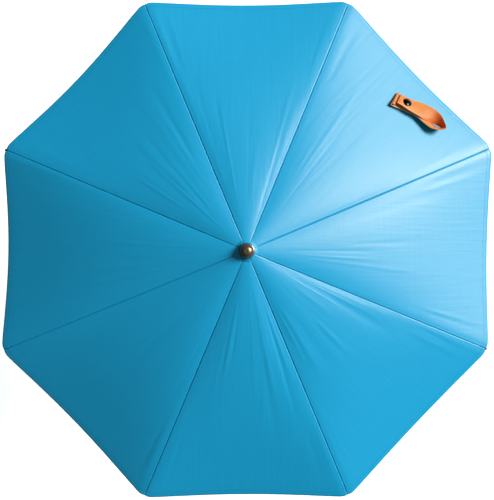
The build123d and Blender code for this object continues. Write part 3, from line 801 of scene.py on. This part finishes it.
def spline_rows(rows, per):
    """Centripetal Catmull-Rom through rows of numbers; the first six place the row."""
    P = np.array(rows, float)
    P = np.concatenate([[2 * P[0] - P[1]], P, [2 * P[-1] - P[-2]]])
    d = np.linalg.norm(np.diff((P[:, 0:3] + P[:, 3:6]) / 2, axis=0), axis=1) ** 0.5
    d = np.maximum(d, 0.3)
    t = np.concatenate([[0], np.cumsum(d)])
    out = []
    for i in range(1, len(P) - 2):
        t0, t1, t2, t3 = t[i - 1:i + 3]
        p0, p1, p2, p3 = P[i - 1:i + 3]
        for u in np.arange(per) / per:
            x = t1 + (t2 - t1) * u
            a1 = (t1 - x) / (t1 - t0) * p0 + (x - t0) / (t1 - t0) * p1
            a2 = (t2 - x) / (t2 - t1) * p1 + (x - t1) / (t2 - t1) * p2
            a3 = (t3 - x) / (t3 - t2) * p2 + (x - t2) / (t3 - t2) * p3
            b1 = (t2 - x) / (t2 - t0) * a1 + (x - t0) / (t2 - t0) * a2
            b2 = (t3 - x) / (t3 - t1) * a2 + (x - t1) / (t3 - t1) * a3
            out.append((t2 - x) / (t2 - t1) * b1 + (x - t1) / (t2 - t1) * b2)
    out.append(P[-2])
    return np.array(out)


def strap_rows():
    rows = []
    for (sa, qa, ha), (sb, qb, hb), red in ROWS:
        ax, ay = strap_plan(sa, qa)
        bx, by = strap_plan(sb, qb)
        rows.append([ax, ay, cloth_height(ax, ay) + ha, bx, by, cloth_height(bx, by) + hb, red])
    return spline_rows(rows, 6)


SR = strap_rows()
EA, EB, SHADE_RED = SR[:, 0:3], SR[:, 3:6], np.clip(SR[:, 6], 0, 1)


def make_strap():
    t = STRAP_T
    nw = 11
    ns = len(EA)
    us = np.linspace(0, 1, nw)
    mid = EA[:, None, :] * (1 - us)[None, :, None] + EB[:, None, :] * us[None, :, None]
    ds = np.gradient(mid, axis=0)
    dw = np.gradient(mid, axis=1)
    n = np.cross(ds, dw)
    n /= np.linalg.norm(n, axis=2, keepdims=True)
    if n[8, nw // 2, 2] < 0:
        n = -n
    # the leather cups a little across its width, and its surface is faintly uneven
    ii = np.arange(ns)[:, None]
    wav = 0.16 * np.sin(ii * 0.23 + us[None, :] * 3.0) + 0.10 * np.sin(ii * 0.61 - us[None, :] * 5.0)
    mid = mid + n * (0.55 * (1 - (2 * us - 1) ** 2)[None, :, None] + wav[:, :, None])
    verts, edge, inner = [], [], []
    sh = np.ones(nw)
    sh[0] = sh[-1] = 0.60
    sh[1] = sh[-2] = 0.93
    ring_n = 2 * nw + 2
    for i in range(ns):
        wdir = mid[i, -1] - mid[i, 0]
        wdir = wdir / np.linalg.norm(wdir)
        end = min(i, ns - 1 - i)
        squeeze = 1.0 if end > 1 else (0.5 if end == 0 else 0.85)
        for j in range(nw):
            verts.append(mid[i, j] + n[i, j] * t / 2 * sh[j] * squeeze)
            # edge marks the rims for the painted highlight
            edge.append(0.9 if j in (0, nw - 1) else 0.0)
            # inner carries the painted shade's dark red, row by row
            inner.append(float(SHADE_RED[i]))
        verts.append(mid[i, -1] + wdir * t * 0.32); edge.append(1.0); inner.append(0.3 * float(SHADE_RED[i]))
        for j in range(nw - 1, -1, -1):
            verts.append(mid[i, j] - n[i, j] * t / 2 * sh[j] * squeeze)
            edge.append(0.9 if j in (0, nw - 1) else 0.0)
            inner.append(0.0)
        verts.append(mid[i, 0] - wdir * t * 0.32); edge.append(1.0); inner.append(0.3 * float(SHADE_RED[i]))
    faces = []
    for i in range(ns - 1):
        for j in range(ring_n):
            jj = (j + 1) % ring_n
            faces.append((i * ring_n + j, i * ring_n + jj, (i + 1) * ring_n + jj, (i + 1) * ring_n + j))
    faces.append(tuple(range(ring_n))[::-1])
    faces.append(tuple((ns - 1) * ring_n + j for j in range(ring_n)))
    ob = mesh_object("closure_strap_leather", np.array(verts) * MM, faces)
    me = ob.data
    for nm, vals in (("edge", edge), ("inner", inner)):
        att = me.attributes.new(nm, "FLOAT", "POINT")
        att.data.foreach_set("value", np.array(vals, np.float32))
    bm = bmesh.new(); bm.from_mesh(me)
    bmesh.ops.recalc_face_normals(bm, faces=bm.faces[:])
    bm.to_mesh(me); bm.free()
    mod = ob.modifiers.new("sub", "SUBSURF"); mod.levels = 1; mod.render_levels = 1
    bpy.context.view_layer.objects.active = ob
    ob.select_set(True)
    bpy.ops.object.modifier_apply(modifier="sub")
    ob.select_set(False)
    ob.data.materials.append(MAT_LEATHER)
    return ob, n


strap, strap_n = make_strap()
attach(strap, "strap")
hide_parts("closure_strap")


def make_anchor():
    """The sewn tab under the strap's end: a flat leather piece with rounded corners."""
    nx, ny = 13, 13
    verts, edge, inner = [], [], []
    for layer in (0, 1):
        for i in range(nx):
            for j in range(ny):
                a, b = 2 * i / (nx - 1) - 1, 2 * j / (ny - 1) - 1
                # square grid squeezed to a rounded rectangle
                k = 1 - 0.10 * (a * b) ** 2
                x, y = strap_plan(6.2 + 3.9 * a * k, -2.2 + 4.3 * b * k)
                rim = min(i, nx - 1 - i, j, ny - 1 - j)
                h = (1.75, 1.95)[min(rim, 1)] if layer == 0 else 0.12
                if layer == 0 and rim == 0:
                    h = 1.35
                verts.append((x, y, cloth_height(x, y) + h))
                # the rim takes the painted edge highlight; the whole tab takes a fifth of the dark red painted shade
                edge.append(1.0 if rim == 0 else 0.0); inner.append(0.2)
    faces = []
    o = nx * ny
    for i in range(nx - 1):
        for j in range(ny - 1):
            a, b, c2, d = i * ny + j, i * ny + j + 1, (i + 1) * ny + j + 1, (i + 1) * ny + j
            faces.append((a, b, c2, d)); faces.append((o + a, o + d, o + c2, o + b))
    loop = [j for j in range(ny)] + [i * ny + ny - 1 for i in range(1, nx)] + [(nx - 1) * ny + j for j in range(ny - 2, -1, -1)] + [i * ny for i in range(nx - 2, 0, -1)]
    for a, b in zip(loop, loop[1:] + loop[:1]):
        faces.append((a, b, o + b, o + a))
    ob = mesh_object("strap_anchor_tab", np.array(verts) * MM, faces)
    bm = bmesh.new(); bm.from_mesh(ob.data)
    bmesh.ops.recalc_face_normals(bm, faces=bm.faces[:])
    bm.to_mesh(ob.data); bm.free()
    for nm, vals in (("edge", edge), ("inner", inner)):
        att = ob.data.attributes.new(nm, "FLOAT", "POINT")
        att.data.foreach_set("value", np.array(vals, np.float32))
    ob.data.materials.append(MAT_LEATHER)
    return ob


anchor = make_anchor()
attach(anchor, "strap_base")
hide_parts("strap_anchor")

# snap: domed cap with a rolled rim on the upper layer, its post and the stud below
want = np.array(strap_plan(13.8, -2.6))
near_row, near_u = min(((i, u) for i in range(2, 26) for u in np.linspace(0.2, 0.8, 25)),
                       key=lambda c: np.linalg.norm((EA[c[0]] * (1 - c[1]) + EB[c[0]] * c[1])[:2] - want))
sp = EA[near_row] * (1 - near_u) + EB[near_row] * near_u
sd = (EA[near_row + 2] - EA[near_row - 2]) * (1 - near_u) + (EB[near_row + 2] - EB[near_row - 2]) * near_u
sw = EB[near_row] - EA[near_row]
sn = np.cross(sd, sw)
sn /= np.linalg.norm(sn)
if sn[2] < 0:
    sn = -sn
zax = Vector(sn)
xax = Vector(sd).normalized()
yax = zax.cross(xax).normalized()
xax = yax.cross(zax).normalized()
SM = Matrix((xax, yax, zax)).transposed().to_4x4()
SM.translation = Vector(sp + sn * (STRAP_T / 2 + 0.45)) * MM
snap_prof = [(0.0, 2.45), (1.2, 2.40), (2.4, 2.22), (3.4, 1.94), (4.3, 1.55), (4.95, 1.12), (5.3, 0.84), (5.5, 0.74), (5.75, 0.78), (6.05, 0.80),
             (6.35, 0.66), (6.5, 0.42), (6.45, 0.18), (6.2, 0.02), (3.0, 0.0), (0.0, 0.0)]
snap = lathe("snap_cap_metal", snap_prof, 72)
snap.data.transform(SM)
sharp_by_angle(snap, 50)
snap.data.materials.append(MAT_SNAP)
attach(snap, "strap")
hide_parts("snap_fastener")
post_prof = [(0.0, -0.05), (1.9, -0.05), (1.9, -5.2), (4.3, -5.2), (4.55, -5.4), (4.6, -5.8), (4.35, -6.1), (2.0, -6.15), (1.8, -6.6), (0.0, -6.6)]
post = lathe("snap_post_metal", post_prof, 40)
post.data.transform(SM)
sharp_by_angle(post, 40)
post.data.materials.append(MAT_SNAP)
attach(post, "strap")

# ------------------------------------------------------------------ canopy joins the frame
for k, (ob, flat) in enumerate(sectors):
    body = f"rib_{k + 1}"
    radial, tangent = rib_dir(k)
    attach(ob, body)
    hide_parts(f"canopy_sector_{k + 1}")
    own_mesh(ob)
    st = stitch_objs[k]
    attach(st, body)
    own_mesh(st)

# ------------------------------------------------------------------ CAD pieces' finishes
rec = frame["record"]
slot_of = {s["node"]: s["material_slot"] for s in rec["subparts"]}
by_slot = {"black_plastic": MAT_PLASTIC, "plated_steel": MAT_STEEL, "painted_tube": MAT_TUBE, "bronze_metal": MAT_BRONZE,
           "snap_metal": MAT_SNAP, "leather": MAT_LEATHER, "canopy_cloth": MAT_CLOTH}
for name, ob in frame["nodes"].items():
    m = by_slot.get(slot_of.get(name))
    if m is None:
        continue
    if ob.material_slots:
        for s in ob.material_slots:
            s.material = m
    else:
        ob.data.materials.append(m)

# ------------------------------------------------------------------ stage, light, camera
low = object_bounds()[0][2]


def stage_material(name, colour, glow):
    m, nt, b = new_mat(name)
    b.inputs["Base Color"].default_value = (*colour, 1)
    b.inputs["Roughness"].default_value = 0.85
    b.inputs["Specular IOR Level"].default_value = 0.1
    b.inputs["Emission Color"].default_value = (1, 1, 1, 1)
    b.inputs["Emission Strength"].default_value = glow
    return m


MAT_FLOOR = stage_material("floor", (0.86, 0.86, 0.86), FLOOR_GLOW)
for name, size, drop, lights in (("floor", 3.0, 0.0005, True), ("floor_far", 20.0, 0.0012, False)):
    bpy.ops.mesh.primitive_plane_add(size=size, location=(0, 0, low - drop))
    floor = bpy.context.object
    floor.name = name
    floor.data.materials.append(MAT_FLOOR)
    floor.visible_diffuse = floor.visible_glossy = lights

n_wall = 96
wall = mesh_object("backdrop", [(9.0 * math.cos(2 * math.pi * (i % n_wall) / n_wall), 9.0 * math.sin(2 * math.pi * (i % n_wall) / n_wall), low - 0.01 + (5.0 if i >= n_wall else 0.0))
                                for i in range(2 * n_wall)], [(i, (i + 1) % n_wall, n_wall + (i + 1) % n_wall, n_wall + i) for i in range(n_wall)])
wall.data.materials.append(stage_material("backdrop", (0.80, 0.80, 0.80), 0.72))
wall.visible_shadow = False
wall.visible_diffuse = False
wall.visible_glossy = False

world = bpy.data.worlds.new("studio")
scene.world = world
world.use_nodes = True
bg = world.node_tree.nodes["Background"]
bg.inputs["Color"].default_value = (0.92, 0.96, 1.0, 1)
bg.inputs["Strength"].default_value = WORLD


def sun(name, energy, az, el, spread, colour=(1, 1, 1), glossy=True):
    li = bpy.data.lights.new(name, "SUN")
    li.energy = energy
    li.angle = math.radians(spread)
    li.color = colour
    ob = bpy.data.objects.new(name, li)
    scene.collection.objects.link(ob)
    a, e = math.radians(az), math.radians(el)
    d = Vector((math.cos(a) * math.cos(e), math.sin(a) * math.cos(e), math.sin(e)))
    ob.rotation_euler = d.to_track_quat("Z", "Y").to_euler()
    ob.location = d * 3
    ob.visible_glossy = glossy
    return ob


sun("key", KEY, KEY_AZ, KEY_EL, 24, (1.0, 0.985, 0.965))
sun("fill", FILL, 0.0, 90.0, 170, (0.94, 0.97, 1.0), glossy=False)

cam = bpy.data.cameras.new("camera")
co = bpy.data.objects.new("camera", cam)
scene.collection.objects.link(co)
scene.camera = co
HEM_Z = (NOTCH - DROP) * MM
DIST = 3.2
cam.sensor_fit = "VERTICAL"
cam.sensor_height = 24.0
cam.lens = 24.0 * DIST / (500 * PX * MM)
cam.clip_start, cam.clip_end = 0.1, 30.0
# a little off the vertical, as the finial's place in the photograph shows
OFF_X, OFF_Y = -0.018, 0.056
co.location = (0.0011 + OFF_X, -0.0008 + OFF_Y, HEM_Z + DIST)
co.rotation_euler = (-math.atan2(OFF_Y, DIST), math.atan2(OFF_X, DIST), 0)

scene.view_settings.view_transform = "Standard"
scene.view_settings.look = "None"
scene.view_settings.exposure = 0.0
